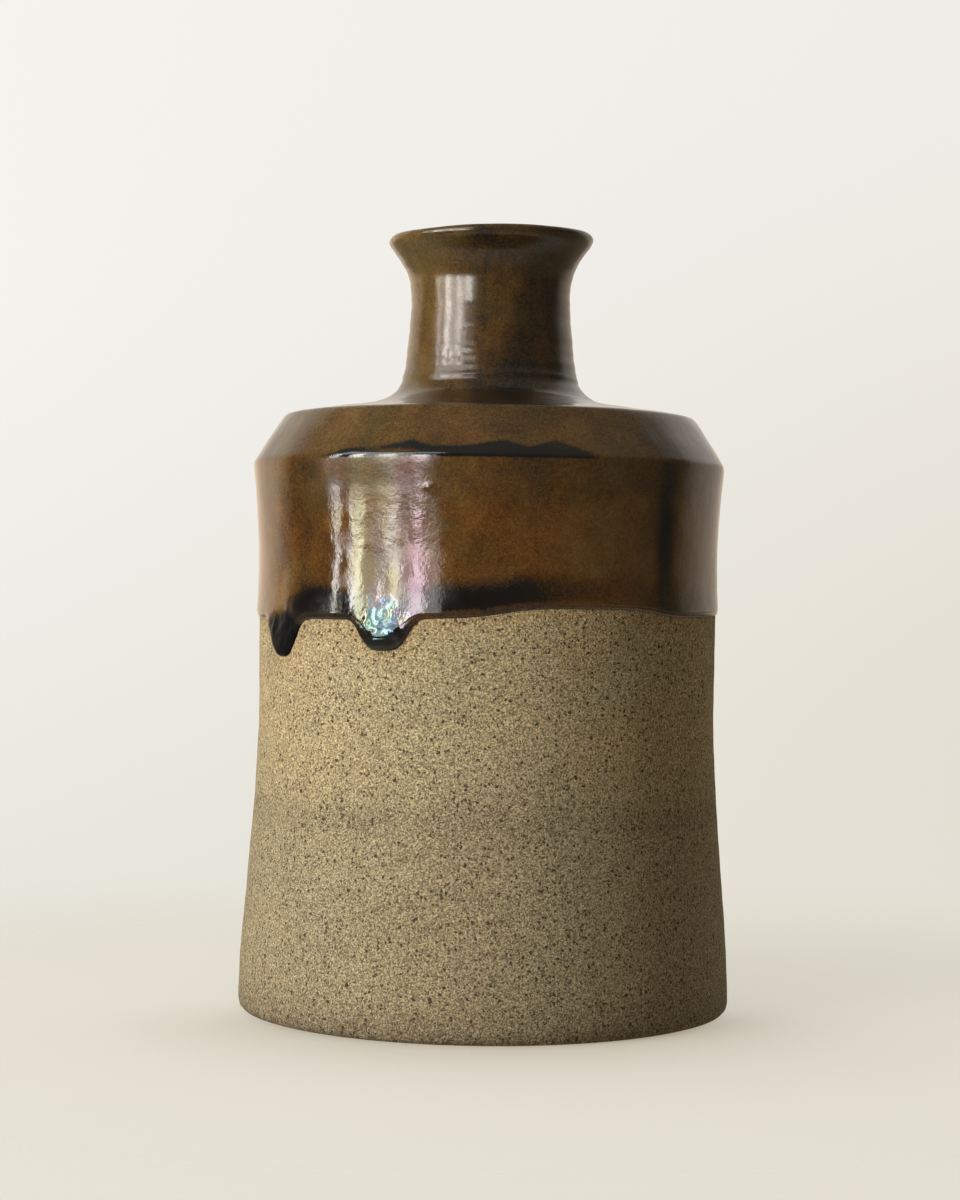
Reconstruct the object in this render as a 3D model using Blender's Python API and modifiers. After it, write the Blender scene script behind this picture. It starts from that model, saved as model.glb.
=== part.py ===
"""Sake bottle (tokkuri) in wheel-thrown stoneware, with a glaze coat outside and a glaze coat inside.

Three bodies, in the order in which a potter makes them:
  stoneware_body  the thrown and fired clay: standing ring, wall, shoulder, neck and lip, open at the mouth
  liner_glaze     the coat poured inside, which seals the clay
  outer_glaze     the coat dipped over the lip, neck, shoulder and upper wall, with a wavy hem and its runs

The origin is the middle of the standing ring, on the table, and +Z points up through the mouth.
Dimensions and outline points are in millimetres until turned_object() scales them to metres, and an
outline point is (radius, height). Azimuths are in degrees: 0 is the front, -Y, and +90 is +X.
"""

import collections
import math

import bpy

METRES_PER_MM = 0.001

# Lip and neck
HEIGHT = 130.0
LIP_RADIUS = 17.35
LIP_ROLL = 0.85
LIP_UNDERSIDE_DEGREES = -35
MOUTH_RADIUS = 13.7
THROAT = (13.45, 119.4)
NECK_FOOT = (14.56, 107.1)
FLARE_PULLS = ((15.0, 125.5), (13.45, 124.0))
NECK_PULLS = ((13.45, 115.5), (14.1, 111.0))

# Shoulder: a fillet and a shallow cone round the neck, then a steep band down to the wall
FILLET_PULLS = ((14.9, 104.2), (16.2, 102.4))
SHOULDER_START = (20.2, 101.6)
SHOULDER_EDGE = (34.6, 99.3)
SHOULDER_EDGE_ROUNDING = 1.2
WALL_TOP = (39.8, 91.3)
WALL_TOP_ROUNDING = 1.4
WALL_TOP_REACH = 5.0

# Wall: narrowest at the waist, swelling up to the shoulder and down to the foot
WAIST = (38.47, 50.0)
FOOT_SWELL = 2.75
SHOULDER_SWELL_POWER = 3.2

# Foot: a flat standing ring round a shallow recess
FOOT_ROUNDING = 1.5
STANDING_RING_INNER_RADIUS = 33.5
RECESS_EDGE = (32.3, 1.2)
RECESS_CROWN = 1.6

# Hollow: floor, inner wall, underside of the shoulder and neck passage
WALL_THICKNESS = 4.3
FLOOR_HEIGHT = 6.3
FLOOR_FILLET = 9.0
INNER_WALL_TOP = 85.0
UNDER_SHOULDER_PULLS = ((35.2, 94.5), (30.0, 96.3))
UNDER_NECK = (15.0, 97.7)
INTO_NECK_PULLS = ((11.2, 98.1), (9.8, 100.0))
PASSAGE_RADIUS = 9.8
PASSAGE_FOOT_HEIGHT = 106.0
MOUTH_PULLS = ((9.8, 124.5), (12.2, 126.0))

# Glaze coats, and the clay's gap behind them
COAT_THICKNESS = 0.4
COAT_GAP = 0.3
COAT_DEPTH = COAT_THICKNESS + COAT_GAP
COAT_MEETING_HEIGHT = 121.0
COAT_MEETING_GAP = 0.6

# Hem of the outer coat. Above SKIRT_TOP the coat is a plain turned shape.
# The clay meets the finished wall line again between BARE_BLEND_TOP and BARE_BLEND_FOOT.
SKIRT_TOP = 80.0
HEM_HEIGHT = 66.16
HEM_ROUNDING = 0.12
BARE_BLEND_TOP = 57.0
BARE_BLEND_FOOT = 47.0

# A run hangs `drop` below the hem over `half_width` degrees each side, and stands out by `bead`.
# A drop below zero lifts the hem there.
Run = collections.namedtuple("Run", "azimuth half_width drop flatness bead")
RUNS = (
    Run(azimuth=-59.1, half_width=7.05, drop=6.2, flatness=3.2, bead=0.5),
    Run(azimuth=-24.9, half_width=6.8, drop=4.8, flatness=3.8, bead=0.6),
    Run(azimuth=23.8, half_width=21.7, drop=-1.0, flatness=5.2, bead=0.0),
    Run(azimuth=152.0, half_width=9.0, drop=2.6, flatness=2, bead=0.2),
)
Wave = collections.namedtuple("Wave", "count height azimuth")
HEM_WAVES = (
    Wave(count=1, height=0.6, azimuth=105.6),
    Wave(count=3, height=0.22, azimuth=15.8),
    Wave(count=5, height=0.12, azimuth=15.0),
)

# Columns round the axis. The outer coat's are crowded towards its runs.
BODY_COLUMNS = 48
OUTER_COLUMNS = 72
LINER_COLUMNS = 36
CROWD_AZIMUTH = -40.0
CROWDING = 0.5


def arc(centre, radius, start_degrees, end_degrees, steps):
    """Points on a circle's arc, both ends included."""
    points = []
    for i in range(steps + 1):
        angle = math.radians(start_degrees + (end_degrees - start_degrees) * i / steps)
        points.append((centre[0] + radius * math.cos(angle), centre[1] + radius * math.sin(angle)))
    return points


def bezier(start, pulls, end, steps):
    """Points on a cubic curve, both ends included."""
    corners = (start, *pulls, end)
    points = []
    for i in range(steps + 1):
        t = i / steps
        weights = ((1 - t) ** 3, 3 * t * (1 - t) ** 2, 3 * t * t * (1 - t), t**3)
        points.append(tuple(sum(w * c[k] for w, c in zip(weights, corners)) for k in (0, 1)))
    return points


def rounded_corner(before, corner, after, radius, steps):
    """Points of the arc that rounds an outer corner between two straight lines."""
    to_before = math.atan2(before[1] - corner[1], before[0] - corner[0])
    to_after = math.atan2(after[1] - corner[1], after[0] - corner[0])
    opening = (to_before - to_after) % (2 * math.pi)
    half = min(opening, 2 * math.pi - opening) / 2
    middle = math.atan2(
        math.sin(to_before) + math.sin(to_after), math.cos(to_before) + math.cos(to_after)
    )
    reach = radius / math.sin(half)
    centre = (corner[0] + reach * math.cos(middle), corner[1] + reach * math.sin(middle))
    sweep = 90 - math.degrees(half)
    outward = math.degrees(middle) + 180
    return arc(centre, radius, outward + sweep, outward - sweep, steps)


def smoothstep(x):
    x = min(max(x, 0.0), 1.0)
    return x * x * (3 - 2 * x)


def wall_radius(height):
    """Outer radius of the wall between the foot and the shoulder."""
    if height < WAIST[1]:
        return WAIST[0] + FOOT_SWELL * smoothstep(1 - height / WAIST[1])
    share = (height - WAIST[1]) / (WALL_TOP[1] - WAIST[1])
    return WAIST[0] + (WALL_TOP[0] - WAIST[0]) * share**SHOULDER_SWELL_POWER


def wall(start_height, end_height, steps, thickness=0.0):
    """Points along the wall, at the outside or at a thickness inside it."""
    points = []
    for i in range(steps + 1):
        height = start_height + (end_height - start_height) * i / steps
        points.append((wall_radius(height) - thickness, height))
    return points


def hollow_skin():
    """Surface of the hollow, from the middle of the floor up to the foot of the neck passage."""
    fillet_top = FLOOR_HEIGHT + FLOOR_FILLET
    inner_wall = wall(fillet_top, INNER_WALL_TOP, 4, WALL_THICKNESS)
    fillet_centre = (inner_wall[0][0] - FLOOR_FILLET, fillet_top)
    passage_foot = (PASSAGE_RADIUS, PASSAGE_FOOT_HEIGHT)
    return [
        (0.0, FLOOR_HEIGHT),
        *arc(fillet_centre, FLOOR_FILLET, -90, 0, 3)[:-1],
        *inner_wall,
        *bezier(inner_wall[-1], UNDER_SHOULDER_PULLS, UNDER_NECK, 4)[1:],
        *bezier(UNDER_NECK, INTO_NECK_PULLS, passage_foot, 3)[1:],
    ]


def lip():
    """Points over the lip, from the edge of the mouth round to the lip's underside."""
    roll_height = HEIGHT - LIP_ROLL
    inner_roll = arc((MOUTH_RADIUS + LIP_ROLL, roll_height), LIP_ROLL, 180, 90, 2)
    outer_roll = arc(
        (LIP_RADIUS - LIP_ROLL, roll_height), LIP_ROLL, 90, LIP_UNDERSIDE_DEGREES, 3
    )
    return inner_roll + outer_roll


def mouth_skin():
    """Surface from inside the neck, out over the lip and down to the hem of the outer coat."""
    over_lip = lip()
    passage_top = (PASSAGE_RADIUS, COAT_MEETING_HEIGHT)
    wall_start = wall(WALL_TOP[1] - WALL_TOP_REACH, HEM_HEIGHT, 4)
    return [
        *bezier(passage_top, MOUTH_PULLS, over_lip[0], 2)[:-1],
        *over_lip,
        *bezier(over_lip[-1], FLARE_PULLS, THROAT, 3)[1:],
        *bezier(THROAT, NECK_PULLS, NECK_FOOT, 2)[1:],
        *bezier(NECK_FOOT, FILLET_PULLS, SHOULDER_START, 3)[1:],
        *rounded_corner(SHOULDER_START, SHOULDER_EDGE, WALL_TOP, SHOULDER_EDGE_ROUNDING, 2),
        *rounded_corner(SHOULDER_EDGE, WALL_TOP, wall_start[0], WALL_TOP_ROUNDING, 2),
        *wall_start,
    ]


def foot_skin():
    """Surface of the bare wall below the hem, round the foot and into the recess."""
    corner_centre = (wall_radius(0.0) - FOOT_ROUNDING, FOOT_ROUNDING)
    return [
        *wall(BARE_BLEND_TOP, BARE_BLEND_FOOT, 2)[:-1],
        *wall(BARE_BLEND_FOOT, 4 * FOOT_ROUNDING, 5),
        *arc(corner_centre, FOOT_ROUNDING, 0, -90, 3),
        (STANDING_RING_INNER_RADIUS, 0.0),
        RECESS_EDGE,
        (0.0, RECESS_CROWN),
    ]


def direction(start, end):
    length = math.hypot(end[0] - start[0], end[1] - start[1])
    return ((end[0] - start[0]) / length, (end[1] - start[1]) / length)


def pressed(points, depths):
    """The outline moved into the clay, to the right of its travel, by a depth at each point."""
    moved = []
    for i, (radius, height) in enumerate(points):
        arriving = direction(points[i - 1], points[i]) if i else None
        leaving = direction(points[i], points[i + 1]) if i < len(points) - 1 else arriving
        arriving = arriving or leaving
        along = direction((0.0, 0.0), (arriving[0] + leaving[0], arriving[1] + leaving[1]))
        mitre = along[0] * leaving[0] + along[1] * leaving[1]
        depth = depths[i] / mitre
        moved.append((max(radius + along[1] * depth, 0.0), height - along[0] * depth))
    return moved


def clay_outline():
    """Outline of the clay, which lies a coat and a gap inside the finished surface where it is glazed."""
    glazed = hollow_skin() + mouth_skin()
    bare = foot_skin()
    depths = [COAT_DEPTH] * len(glazed)
    for _, height in bare:
        share = (height - BARE_BLEND_FOOT) / (BARE_BLEND_TOP - BARE_BLEND_FOOT)
        depths.append(COAT_DEPTH * smoothstep(share))
    return pressed(glazed + bare, depths)


def outer_coat_outline():
    """Closed outline of the outer coat: its finished side down to the hem, then its hidden side."""
    finished = mouth_skin()
    hidden = pressed(finished, [COAT_THICKNESS] * len(finished))
    hem_tip = (finished[-1][0] - COAT_THICKNESS / 2, HEM_HEIGHT - HEM_ROUNDING)
    return finished + [hem_tip] + hidden[::-1]


def liner_outline():
    """Outline of the inner coat: its finished side up from the floor, then its hidden side down."""
    finished = hollow_skin() + [(PASSAGE_RADIUS, COAT_MEETING_HEIGHT - COAT_MEETING_GAP)]
    hidden = pressed(finished, [COAT_THICKNESS] * len(finished))
    return finished + hidden[::-1]


def hem_drop(azimuth):
    """How far the hem hangs below HEM_HEIGHT at an azimuth, and how far it stands out there."""
    drop = 0.0
    bead = 0.0
    for wave in HEM_WAVES:
        drop -= wave.height * math.cos(math.radians(wave.count * (azimuth - wave.azimuth)))
    for run in RUNS:
        away = (azimuth - run.azimuth + 180) % 360 - 180
        share = math.exp(-(abs(away / run.half_width) ** run.flatness))
        drop += run.drop * share
        bead += run.bead * share
    return drop, bead


def hang_hem(mesh):
    """Crowd the columns of a turned coat towards its runs, then stretch its skirt down to the hem."""
    for vertex in mesh.vertices:
        x, y, height = (c / METRES_PER_MM for c in vertex.co)
        radius = math.hypot(x, y)
        azimuth = math.degrees(math.atan2(x, -y))
        turn = math.sin(math.radians(azimuth - CROWD_AZIMUTH))
        azimuth -= math.degrees(CROWDING * turn)
        if height < SKIRT_TOP:
            drop, bead = hem_drop(azimuth)
            share = (SKIRT_TOP - height) / (SKIRT_TOP - HEM_HEIGHT)
            if radius > wall_radius(height) - COAT_THICKNESS / 4:
                radius += bead * share**3
            height -= drop * share
        angle = math.radians(azimuth)
        place = (radius * math.sin(angle), -radius * math.cos(angle), height)
        vertex.co = [c * METRES_PER_MM for c in place]


def principled(name, colour, roughness, coat_weight):
    """A Principled material with a colour, a roughness and a clear coat."""
    material = bpy.data.materials.new(name)
    material.use_nodes = True
    shader = material.node_tree.nodes["Principled BSDF"]
    shader.inputs["Base Color"].default_value = (*colour, 1.0)
    shader.inputs["Roughness"].default_value = roughness
    shader.inputs["Metallic"].default_value = 0.0
    shader.inputs["Coat Weight"].default_value = coat_weight
    material.diffuse_color = (*colour, 1.0)
    return material


def turned_object(name, outline, closed, columns, material, collection):
    """An outline in the XZ plane turned round +Z by a Screw modifier, in metres."""
    vertices = [(radius * METRES_PER_MM, 0.0, height * METRES_PER_MM) for radius, height in outline]
    edges = [(i, i + 1) for i in range(len(vertices) - 1)]
    if closed:
        edges.append((len(vertices) - 1, 0))
    mesh = bpy.data.meshes.new(name)
    mesh.from_pydata(vertices, edges, [])
    mesh.materials.append(material)
    turned = bpy.data.objects.new(name, mesh)
    collection.objects.link(turned)
    screw = turned.modifiers.new("turn", "SCREW")
    screw.steps = columns
    screw.render_steps = columns
    screw.use_merge_vertices = True
    screw.merge_threshold = 0.00001
    screw.use_smooth_shade = True
    return turned


def apply_turn(turned):
    """Replace the object's outline by the mesh that its modifier makes."""
    graph = bpy.context.evaluated_depsgraph_get()
    mesh = bpy.data.meshes.new_from_object(turned.evaluated_get(graph))
    turned.modifiers.clear()
    turned.data = mesh


def make_stoneware_body(collection):
    clay = principled("stoneware_clay", (0.36, 0.29, 0.18), roughness=0.9, coat_weight=0.0)
    turned_object("stoneware_body", clay_outline(), False, BODY_COLUMNS, clay, collection)


def make_liner_glaze(collection):
    dark = principled("liner_glaze", (0.04, 0.022, 0.01), roughness=0.15, coat_weight=0.5)
    turned_object("liner_glaze", liner_outline(), False, LINER_COLUMNS, dark, collection)


def make_outer_glaze(collection):
    brown = principled("iron_glaze", (0.075, 0.036, 0.012), roughness=0.12, coat_weight=0.5)
    coat = turned_object(
        "outer_glaze", outer_coat_outline(), True, OUTER_COLUMNS, brown, collection
    )
    apply_turn(coat)
    hang_hem(coat.data)


def main():
    for old in list(bpy.data.objects):
        bpy.data.objects.remove(old)
    collection = bpy.data.collections.new("sake_bottle")
    bpy.context.scene.collection.children.link(collection)
    make_stoneware_body(collection)
    make_liner_glaze(collection)
    make_outer_glaze(collection)


main()
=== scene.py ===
"""Looks of the sake bottle: bare speckled stoneware under a running brown iron glaze, on a pale floor.

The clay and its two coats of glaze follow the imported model's outlines and hem at a finer grain, and carry
the marks of making: throwing rings, a lip that isn't quite level, runs with rounded beads, and pits.
Lengths are in metres. An azimuth is an angle about +Z, 0 at the front (-Y) and positive towards +X.
An outline is an array of (radius, height) rows.
"""

import math

import bpy
import numpy as np
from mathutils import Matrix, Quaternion, Vector


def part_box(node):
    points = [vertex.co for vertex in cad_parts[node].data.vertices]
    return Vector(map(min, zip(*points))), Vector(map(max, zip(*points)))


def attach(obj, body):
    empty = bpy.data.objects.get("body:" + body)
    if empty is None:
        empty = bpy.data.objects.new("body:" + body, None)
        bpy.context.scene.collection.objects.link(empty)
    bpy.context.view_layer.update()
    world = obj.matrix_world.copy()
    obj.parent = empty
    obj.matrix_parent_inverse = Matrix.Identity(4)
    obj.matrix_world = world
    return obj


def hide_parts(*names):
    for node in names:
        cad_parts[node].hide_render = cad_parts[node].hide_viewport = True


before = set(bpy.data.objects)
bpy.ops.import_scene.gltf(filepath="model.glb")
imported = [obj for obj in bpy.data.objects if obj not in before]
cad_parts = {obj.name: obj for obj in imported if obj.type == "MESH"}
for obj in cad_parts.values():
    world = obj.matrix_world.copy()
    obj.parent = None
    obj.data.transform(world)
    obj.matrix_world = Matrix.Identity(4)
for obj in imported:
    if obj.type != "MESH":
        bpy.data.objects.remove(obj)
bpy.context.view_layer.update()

MM = 0.001
DEGREE = math.pi / 180

# Reading the frame; a run of glaze is (azimuth in degrees, half width in degrees, bluntness of its tip)
SAME_POINT = 0.01 * MM
LEVEL_HEM_AZIMUTH = 60 * DEGREE
HEM_CLEARANCE = 3 * MM
BARE_CLEARANCE = 11.5 * MM
OUTERMOST_SHARE = 0.9
LINE_STEP = 0.05 * MM
SAME_COLUMN = 0.2 * DEGREE
LIP_DEPTH = 4 * MM
EDGE_PAST_LIP = 1.5
EDGE_LEAN = (0.545, 0.839)
ROOT_LEAN = 0.6
HEM_REACH = 12 * MM
RUNS = ((-59.1, 7.05, 3.2), (-24.9, 6.8, 3.8))
RUN_CLEARANCE = 1.5
HEM_SEARCH_STEP = 0.15 * MM
HEM_SLOPE_STEP = 0.5 * DEGREE

# Grain of the fine meshes, and how rows and columns crowd together where there is more to show
COAT_COLUMNS = 430
COAT_SKIRT_ROWS = 64
COAT_UPPER_ROWS = 156
COAT_UNDERSIDE_ROWS = 44
CLAY_COLUMNS = 380
CLAY_OUTER_ROWS = 136
CLAY_INNER_ROWS = 64
LINER_COLUMNS = 144
LINER_ROWS = 110
LINE_SAMPLES = 4000
AZIMUTH_STEPS = 7200
STEEP_REACH = 16
CORNER_CROWDING = 1.6 * MM
MARK_CROWDING = 3.0
HEM_CROWDING = 2.2
SKIRT_HEIGHT = 12 * MM
SKIRT_BLEND = 0.4 * SKIRT_HEIGHT
SKIRT_CROWDING = 2.6

# The coat of glaze
COAT_SINK = 0.3 * MM
COAT_UNDERCUT = 0.06 * MM
HEM_BEAD = 0.34 * MM
HEM_BEAD_WIDTH = 0.75 * MM
HEM_BEAD_FADE = 3.2 * MM
RUN_BEAD_PER_DROP = 0.17
RUN_BEAD_MOST = 0.95 * MM
RUN_FADE = 6.5 * MM
BEAD_REST = 0.3
GLAZE_SWELLS = 0.030 * MM
GLAZE_SWELL_LENGTH = 11 * MM
GLAZED_RINGS = 0.3
SWELL_STRETCH = 0.45
GLAZE_RIPPLES = 0.006 * MM
GLAZE_RIPPLE_LENGTH = 4 * MM

# The clay, which rises to meet the coat's hem, and the liner
CLAY_SWELLS = 0.04 * MM
CLAY_SWELL_LENGTH = 16 * MM
CLAY_FOOT_FADE = 6 * MM
CLAY_RISE = 1.0 * MM
CLAY_RISE_FADE = 6 * MM
LINER_STRETCH = 0.7 * MM
LINER_STRETCH_FROM = 11 * MM

# Small marks in the coat: blisters as (azimuth in degrees, height, width, rise), pinholes in the neck,
# a crease round its foot, and a soft ring among dimples in the largest run
BLISTERS = (
    (-13.8, 86.1 * MM, 0.42 * MM, 0.20 * MM),
    (-12.4, 85.5 * MM, 0.34 * MM, 0.16 * MM),
    (-13.1, 85.6 * MM, 0.30 * MM, -0.10 * MM),
)
PINHOLE_HEIGHT = 108.0 * MM
PINHOLE_SPAN = (-38, -10)
PINHOLES = 9
PINHOLE_SEED = 6
PINHOLE_SCATTER = 1.1 * MM
PINHOLE_WIDTH = 0.30 * MM
PINHOLE_DEPTH = 0.045 * MM
NECK_CREASE_HEIGHT = 105.8 * MM
NECK_CREASE = 0.10 * MM
NECK_CREASE_WIDTH = 0.35 * MM
NECK_CREASE_WANDER = 0.25 * MM
RUN_RING_AZIMUTH = -24.7
RUN_RING_HEIGHT = 66.3 * MM
RUN_RING_RADIUS = 1.15 * MM
RUN_RING_WIDTH = 0.3 * MM
RUN_RING = 0.1 * MM
RUN_DIMPLES = 0.11 * MM
RUN_DIMPLE_LENGTH = 2.2 * MM
RUN_DIMPLES_REACH = 4 * MM

# Marks of making, shared by the clay and its coats
LIP_TILT = 1.2 * DEGREE
OUT_OF_ROUND = 0.12 * MM
OUT_OF_ROUND_AZIMUTH = 20 * DEGREE
WALL_RINGS = 0.02 * MM
NECK_RINGS = 0.05 * MM
RING_PITCH = 5.2 * MM
CLOSE_RING_PITCH = 2.1 * MM

# How deep the glaze looks, 0 for thin and amber to 1 for near black: its mean, and what each place adds
DEPTHS = {
    "mean": 0.47, "hem_margin": 0.24, "hem_lip": 0.25, "run_edge": 0.25, "run_tip": 0.42,
    "wave": 0.46, "shoulder": 0.06, "root": 0.08, "lip": -0.10,
}
# More depth by azimuth in degrees, on the wall, on the shoulder and neck, pooled above the hem, and painted
# shade under the shoulder; then how many millimetres the dark wave climbs the shoulder's slope
WALL_DEPTH = (
    (-180, 0.0), (-100, 0.0), (-70, -0.06), (-56, -0.02), (-46, 0.06), (-36, 0.02), (-10, -0.06),
    (10, -0.03), (26, -0.19), (42, -0.22), (62, -0.08), (100, 0.0), (180, 0.0),
)
NECK_DEPTH = (
    (-180, 0.08), (-90, -0.08), (-60, -0.20), (-46, -0.18), (-36, -0.08), (-10, 0.06), (30, 0.08),
    (90, 0.02), (180, 0.08),
)
HEM_POOL = (
    (-180, 0.34), (-130, 0.46), (-95, 0.24), (-72, 0.13), (-55, 0.38), (-10, 0.56), (8, 0.52),
    (18, 0.36), (32, 0.20), (50, 0.22), (85, 0.38), (120, 0.26), (150, 0.44), (180, 0.34),
)
TOP_SHADE = (
    (-180, 0.1), (-90, 0.04), (-50, 0.02), (-5, 0.04), (12, 0.18), (60, 0.19), (120, 0.1), (180, 0.1),
)
CHAMFER_WAVE = (
    (-180, 0.8), (-150, 2.2), (-128, 0.5), (-104, 2.4), (-80, 0.4), (-60, 0.0), (-46, 0.1), (-35, 1.3),
    (-27, 1.5), (-18, 2.6), (-13, 1.4), (-9, 1.5), (-2, 2.0), (3.5, 2.6), (9, 1.5), (15.8, 2.6),
    (21, 1.3), (27, 0.2), (60, 0.0), (84, 1.6), (97, 2.6), (112, 0.6), (138, 1.8), (158, 2.7),
    (180, 0.8),
)
# A pale lens in the wave, and dark spots as (azimuth in degrees, height, half width, half height, strength)
LENS_AZIMUTH = -22
LENS_HALF_WIDTH = 6 * MM
LENS_RISE = 0.85 * MM
LENS_HALF_HEIGHT = 0.45 * MM
LENS_PALENESS = 0.85
WALL_POOLS_AND_DARK_REFLECTION = (
    # The first spot is a painted dark reflection, a streak on the right of the wall; the others are pools
    (46.4, 78.5 * MM, 2.3 * MM, 11 * MM, 0.70),
    (-44, 68.6 * MM, 5.0 * MM, 1.6 * MM, 0.25),
    (128, 78 * MM, 2.4 * MM, 11 * MM, 0.3),
    (-140, 80 * MM, 3.4 * MM, 8 * MM, 0.25),
)

# How far the glaze leans to olive: everywhere, and what each place adds
OLIVES = {
    "all": 0.3, "wall_top": 0.5, "right": 0.3, "shoulder": 0.25, "neck": 0.2, "runs": 0.5, "patches": 0.15,
}

# The glaze's shine: the metallic bloom's nanometres and the cast, olive towards -1 and lilac towards 1, both
# by azimuth in degrees; then how matt the neck, the wall, the haze under the shoulder and single spots are
FILM_HEIGHT = 65.6 * MM
FILM_REACH = 4.2 * MM
FILM_THICKNESS = ((-32, 190), (-27, 230), (-22, 245), (-18, 300))
SHEEN = (
    (-60, 0.1), (-39, 0.2), (-36, -0.3), (-31, -0.9), (-26, -0.5), (-22, 0.1), (-17.5, 0.9),
    (-14.5, 0.7), (-12, 0.2), (-8, 0),
)
NECK_MATT = 0.4
WALL_MATT = 0.30
PATCHES_FROM = -38 * DEGREE
HAZE = 0.6
HAZE_AZIMUTH = -34 * DEGREE
HAZE_HALF_WIDTH = 20 * DEGREE
CRAWLED_REACH = 11 * MM
DULL_SPOTS = (
    (-20.3, 77.2 * MM, 1.2 * MM, 1.8 * MM, 0.60),
    (-36.0, 77.8 * MM, 1.6 * MM, 1.2 * MM, 0.40),
    (-43.5, 67.6 * MM, 2.6 * MM, 1.6 * MM, 0.70),
)

# Grain of the glazes and the clay: each noise is (cells per metre, detail, roughness, distortion)
GLAZE_MOTTLE = (260.0, 4.0, 0.6, 0.4)
GLAZE_FINE = (1500.0, 3.0, 0.65, 0.0)
GLAZE_GRAIN = (3600.0, 2.0, 0.6, 0.0)
GLAZE_TINT = (110.0, 2.0, 0.5, 0.8)
GLAZE_SWELL = (420.0, 1.0, 0.5, 0.0)
GLAZE_SWELL_RISE = 0.035 * MM
GLAZE_PEEL = (1900.0, 2.0, 0.6, 0.0)
GLAZE_PEEL_RISE = 0.018 * MM
FILM_NOISE = (260.0, 2.0, 0.6, 0.5)
FILM_DRIFT = (0.86, 1.14)
CLAY_DRIFT = (38.0, 3.0, 0.6, 0.3)
CLAY_CLOUD = (160.0, 4.0, 0.7, 0.2)
CLAY_GRAIN = (3600.0, 3.0, 0.9, 0.0)
CLAY_GRIT = 0.12 * MM
SAND_SCALE = 4600.0
WARP_SCALE = 2400.0
WARP = 0.7 * MM

# Floor, room and window; an upright pane is (name, left and right azimuth, low and high elevation,
# radiance at its foot, radiance)
FLOOR_RADIUS = 400 * MM
FLOOR_SIDES = 96
FLOOR_FADE = (55 * MM, 230 * MM)
FLOOR_COLOUR = (0.80, 0.785, 0.74, 1)
FLOOR_GLOW = (0.815, 0.785, 0.69, 1)
FLOOR_EVENNESS = 0.74
# The floor's painted shadow round the bottle's foot: how far it reaches, and its glow where darkest
CONTACT_REACH = 60 * MM
PAINTED_SHADOW_GLOW = (0.52, 0.455, 0.355, 1)
ROOM_RIGHT = (0.15, 0.125, 0.09, 1)
ROOM_LEFT = (0.06, 0.046, 0.032, 1)
ROOM_ABOVE = (0.33, 0.29, 0.23, 1)
PAPER_LEFT = (1.28, 1.03, 0.76, 1)
PAPER_RIGHT = (0.72, 0.60, 0.47, 1)
PAPER_LEAN = 0.04
PAPER_HIGH = (0.85, 0.80, 0.73, 1)
PAPER_BELOW = (0.265, 0.22, 0.145, 1)
BACK_TOP_LEFT = (0.905, 0.89, 0.855, 1)
BACK_TOP_RIGHT = (0.871, 0.847, 0.807, 1)
BACK_LOW_LEFT = (0.79, 0.768, 0.694, 1)
BACK_LOW_RIGHT = (0.775, 0.742, 0.66, 1)
PANEL_FADE = 2.6
PANEL_DISTANCE = 600 * MM
PANEL_LEVEL = 80 * MM
PANEL_STEPS = 6
WINDOW_COLOUR = (1.0, 0.97, 0.92, 1)
PANES = (
    ("pane_slit", -79.6, -77.0, -5.6, 40, 0.3, 19.0),
    ("pane_left", -68, -61, -5.4, 40, 0.5, 21.0),
    ("pane_curtain", -61, -49.5, -5.2, 40, 0.8, 5.0),
    ("pane_centre", -49.5, -43.5, -5.4, 40, 1.5, 17.0),
    ("pane_shade", -43.5, -37, -5.0, 40, 1.2, 4.6),
    ("pane_right", -37, -29.5, -5.4, 12, 1.5, 18.0),
    ("pane_edge", -29.5, -22.5, -5.0, 12, 0.9, 3.8),
    ("pane_top", -85, -22, 24, 42, 4.5, 4.5),
    ("sill_left", -80, -52, -9, -5.6, 0.2, 0.4),
    ("sill_right", -52, -24, -9, -5.4, 1.0, 1.4),
)
KEY = ("key", -73, -33, -4.2, 45, 10.4, 10.4)

# Camera
CAMERA_DISTANCE = 437 * MM
CAMERA_HEIGHT = 69.6 * MM
CAMERA_ASIDE = -1.22 * MM
CAMERA_PITCH = -0.13 * DEGREE
CAMERA_ROLL = 0.66 * DEGREE
CAMERA_LENS = 77.4

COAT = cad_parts["outer_glaze"]
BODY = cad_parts["stoneware_body"]
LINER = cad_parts["liner_glaze"]


# ---- arithmetic

def wrapped(angle):
    """An angle, or an array of them, brought to within half a turn of zero."""
    return (angle + math.pi) % (2 * math.pi) - math.pi


def smoothstep(low, high, value):
    share = np.clip((value - low) / (high - low), 0, 1)
    return share * share * (3 - 2 * share)


def bell(distance, width):
    return np.exp(-(distance / width) ** 2)


def ripples(points, wavelength, waves, seed):
    """A smooth random field of about unit size: a sum of plane waves near one wavelength."""
    rng = np.random.default_rng(seed)
    total = np.zeros(points.shape[:-1])
    for _ in range(waves):
        direction = rng.normal(size=3)
        direction /= np.linalg.norm(direction)
        length = wavelength * rng.uniform(0.7, 1.5)
        phase = rng.uniform(0, 2 * math.pi)
        total += np.sin(points @ direction * (2 * math.pi / length) + phase)
    return total / math.sqrt(waves / 2)


# ---- outlines from the frame

def corners_of(node):
    return np.array([v.co for v in node.data.vertices], float)


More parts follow.
